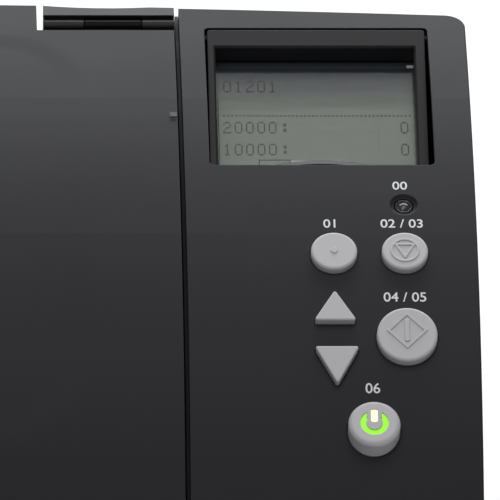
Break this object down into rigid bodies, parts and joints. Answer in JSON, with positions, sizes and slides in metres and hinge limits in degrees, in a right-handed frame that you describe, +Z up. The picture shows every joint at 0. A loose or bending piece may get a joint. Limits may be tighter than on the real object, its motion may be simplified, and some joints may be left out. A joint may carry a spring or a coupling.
{
  "type": "document scanner",
  "caption": "Wide sheet-fed document scanner with an arched hinged cover, an operator panel with a tilting display and buttons, a rising hopper table and a folding delivery tray.",
  "frame": {"origin": "on the floor under the middle of the outer box", "axes": "+X to the right of a person at the front, +Y to the rear, +Z up"},
  "size_m": [0.46, 0.432, 0.31],
  "materials": {
    "shell": "fine grain",
    "dark_shell": "satin",
    "tray_grey": "fine grain",
    "hinge_grey": "smooth",
    "button_grey": "satin",
    "bush": "smooth",
    "circuit_board": "satin",
    "display_back": "satin",
    "display_glass": "clear",
    "lamp_lens": "glossy",
    "power_light": "lit",
    "steel": "brushed",
    "rubber": "matte"
  },
  "bodies": {
    "base": {"base_tray": "shell", "feet": "rubber", "front_deck": "shell", "left_strip": "shell", "operator_panel": "shell", "left_cover": "shell", "right_cover": "shell", "rear_cover": "shell", "feed_bridge": "dark_shell", "feed_ramp": "dark_shell", "inner_frame_left": "steel", "inner_frame_right": "steel", "cross_beams": "steel", "hinge_blocks": "hinge_grey", "hinge_pins": "steel", "core_guide": "steel", "outer_guide": "steel", "lower_scan_unit": "dark_shell", "roller_bushes": "bush", "drive_motor": "steel", "drive_belts": "rubber", "power_supply": "steel", "control_board": "circuit_board", "button_board": "circuit_board", "check_lamp": "lamp_lens", "lift_rods": "steel", "rear_sockets": "dark_shell", "case_screws": "steel"},
    "cover_unit": {"top_cover": "shell", "cover_knuckles": "shell", "upper_frame": "steel", "upper_scan_unit": "dark_shell"},
    "release": {"release_lever": "dark_shell", "latch_hooks": "steel"},
    "transport_pinch": {"transport_pinch_roller": "rubber"},
    "exit_pinch": {"exit_pinch_roller": "rubber"},
    "pick_roll": {"pick_roller": "rubber"},
    "feed_roll": {"feed_roller": "rubber"},
    "brake_roll": {"brake_roller": "rubber"},
    "turn_roll": {"turn_roller": "rubber"},
    "transport_roll": {"transport_roller": "rubber"},
    "exit_roll": {"exit_roller": "rubber"},
    "motor_rotor": {"motor_pulley": "steel"},
    "display": {"display_frame": "dark_shell", "display_window": "display_glass", "display_module": "display_back"},
    "menu_key": {"menu_button": "button_grey"},
    "stop_key": {"stop_button": "button_grey"},
    "up_key": {"up_button": "button_grey"},
    "down_key": {"down_button": "button_grey"},
    "scan_key": {"scan_button": "button_grey"},
    "power_key": {"power_button": "button_grey", "power_mark_light": "power_light"},
    "delivery_tray": {"stacker_tray": "tray_grey"},
    "tray_extension": {"stacker_extension": "tray_grey"},
    "table": {"hopper_table": "tray_grey"},
    "table_extension": {"hopper_extension": "tray_grey"},
    "guide_left": {"paper_guide_left": "tray_grey"},
    "guide_right": {"paper_guide_right": "tray_grey"},
    "guide_gear": {"guide_pinion": "tray_grey"}
  },
  "joints": [
    {"name": "cover_hinge", "type": "hinge", "parent": "base", "child": "cover_unit", "pos_m": [-0.01765, 0.2074, 0.3068], "axis": [-1, 0, 0], "range_deg": [0, 62]},
    {"name": "release_pivot", "type": "hinge", "parent": "cover_unit", "child": "release", "pos_m": [-0.01765, 0.016, 0.212], "axis": [-1, 0, 0], "range_deg": [0, 10], "stiffness_Nm_per_rad": 0.6, "springref_deg": -17.19},
    {"name": "display_tilt", "type": "hinge", "parent": "base", "child": "display", "pos_m": [0.1835, 0.20052, 0.3068], "axis": [-1, 0, 0], "range_deg": [0, 14]},
    {"name": "menu_press", "type": "slide", "parent": "base", "child": "menu_key", "axis": [0, 0.3314, -0.9435], "range_m": [0, 0.001], "stiffness_N_per_m": 1000, "springref_m": -0.001},
    {"name": "stop_press", "type": "slide", "parent": "base", "child": "stop_key", "axis": [0, 0.3314, -0.9435], "range_m": [0, 0.001], "stiffness_N_per_m": 1000, "springref_m": -0.001},
    {"name": "up_press", "type": "slide", "parent": "base", "child": "up_key", "axis": [0, 0.4285, -0.9036], "range_m": [0, 0.001], "stiffness_N_per_m": 1000, "springref_m": -0.001},
    {"name": "down_press", "type": "slide", "parent": "base", "child": "down_key", "axis": [0, 0.5144, -0.8576], "range_m": [0, 0.001], "stiffness_N_per_m": 1000, "springref_m": -0.001},
    {"name": "scan_press", "type": "slide", "parent": "base", "child": "scan_key", "axis": [0, 0.47, -0.8827], "range_m": [0, 0.001], "stiffness_N_per_m": 1000, "springref_m": -0.001},
    {"name": "power_press", "type": "slide", "parent": "base", "child": "power_key", "axis": [0, 0.4231, -0.9061], "range_m": [0, 0.001], "stiffness_N_per_m": 1000, "springref_m": -0.001},
    {"name": "turn_spin", "type": "hinge", "parent": "base", "child": "turn_roll", "pos_m": [-0.01765, 0.17925, 0.175], "axis": [1, 0, 0], "continuous": true},
    {"name": "pick_spin", "type": "hinge", "parent": "base", "child": "pick_roll", "pos_m": [-0.01765, 0, 0.1225], "axis": [1, 0, 0], "continuous": true},
    {"name": "feed_spin", "type": "hinge", "parent": "base", "child": "feed_roll", "pos_m": [-0.01765, 0.03, 0.12415], "axis": [1, 0, 0], "continuous": true},
    {"name": "brake_spin", "type": "hinge", "parent": "base", "child": "brake_roll", "pos_m": [-0.01765, 0.03, 0.09885], "axis": [1, 0, 0], "continuous": true},
    {"name": "transport_spin", "type": "hinge", "parent": "base", "child": "transport_roll", "pos_m": [-0.01765, 0.09365, 0.21916], "axis": [1, 0, 0], "continuous": true},
    {"name": "exit_spin", "type": "hinge", "parent": "base", "child": "exit_roll", "pos_m": [-0.01765, 0.02118, 0.18524], "axis": [1, 0, 0], "continuous": true},
    {"name": "motor_spin", "type": "hinge", "parent": "base", "child": "motor_rotor", "pos_m": [-0.185, 0.08, 0.055], "axis": [1, 0, 0], "continuous": true},
    {"name": "transport_pinch_spin", "type": "hinge", "parent": "cover_unit", "child": "transport_pinch", "pos_m": [-0.01765, 0.08612, 0.23474], "axis": [1, 0, 0], "continuous": true},
    {"name": "exit_pinch_spin", "type": "hinge", "parent": "cover_unit", "child": "exit_pinch", "pos_m": [-0.01765, 0.01409, 0.19992], "axis": [1, 0, 0], "continuous": true},
    {"name": "tray_pivot", "type": "hinge", "parent": "base", "child": "delivery_tray", "pos_m": [-0.01765, -0.027, 0.15], "axis": [-1, 0, 0], "range_deg": [0, 70]},
    {"name": "tray_extension_slide", "type": "slide", "parent": "delivery_tray", "child": "tray_extension", "axis": [0, -0.9903, 0.1392], "range_m": [0, 0.11]},
    {"name": "table_lift", "type": "slide", "parent": "base", "child": "table", "axis": [0, 0, 1], "range_m": [0, 0.048]},
    {"name": "table_extension_slide", "type": "slide", "parent": "table", "child": "table_extension", "axis": [0, -1, 0], "range_m": [0, 0.14]},
    {"name": "guide_left_slide", "type": "slide", "parent": "table", "child": "guide_left", "axis": [1, 0, 0], "range_m": [0, 0.06]},
    {"name": "guide_right_slide", "type": "slide", "parent": "table", "child": "guide_right", "axis": [-1, 0, 0], "range_m": [0, 0.06]},
    {"name": "guide_gear_spin", "type": "hinge", "parent": "table", "child": "guide_gear", "pos_m": [-0.01765, -0.076, 0.0553], "axis": [0, 0, 1], "range_deg": [0, 574]}
  ],
  "couplings": [
    {"joint": "pick_spin", "follows": "turn_spin", "ratio": 1.1667},
    {"joint": "feed_spin", "follows": "turn_spin", "ratio": 1},
    {"joint": "brake_spin", "follows": "turn_spin", "ratio": -1.2727},
    {"joint": "transport_spin", "follows": "turn_spin", "ratio": 1.4},
    {"joint": "exit_spin", "follows": "turn_spin", "ratio": 1.5556},
    {"joint": "motor_spin", "follows": "turn_spin", "ratio": 1.4},
    {"joint": "transport_pinch_spin", "follows": "turn_spin", "ratio": -2},
    {"joint": "exit_pinch_spin", "follows": "turn_spin", "ratio": -2},
    {"joint": "guide_right_slide", "follows": "guide_left_slide", "ratio": 1},
    {"joint": "guide_gear_spin", "follows": "guide_left_slide", "rad_per_m": 166.67}
  ]
}
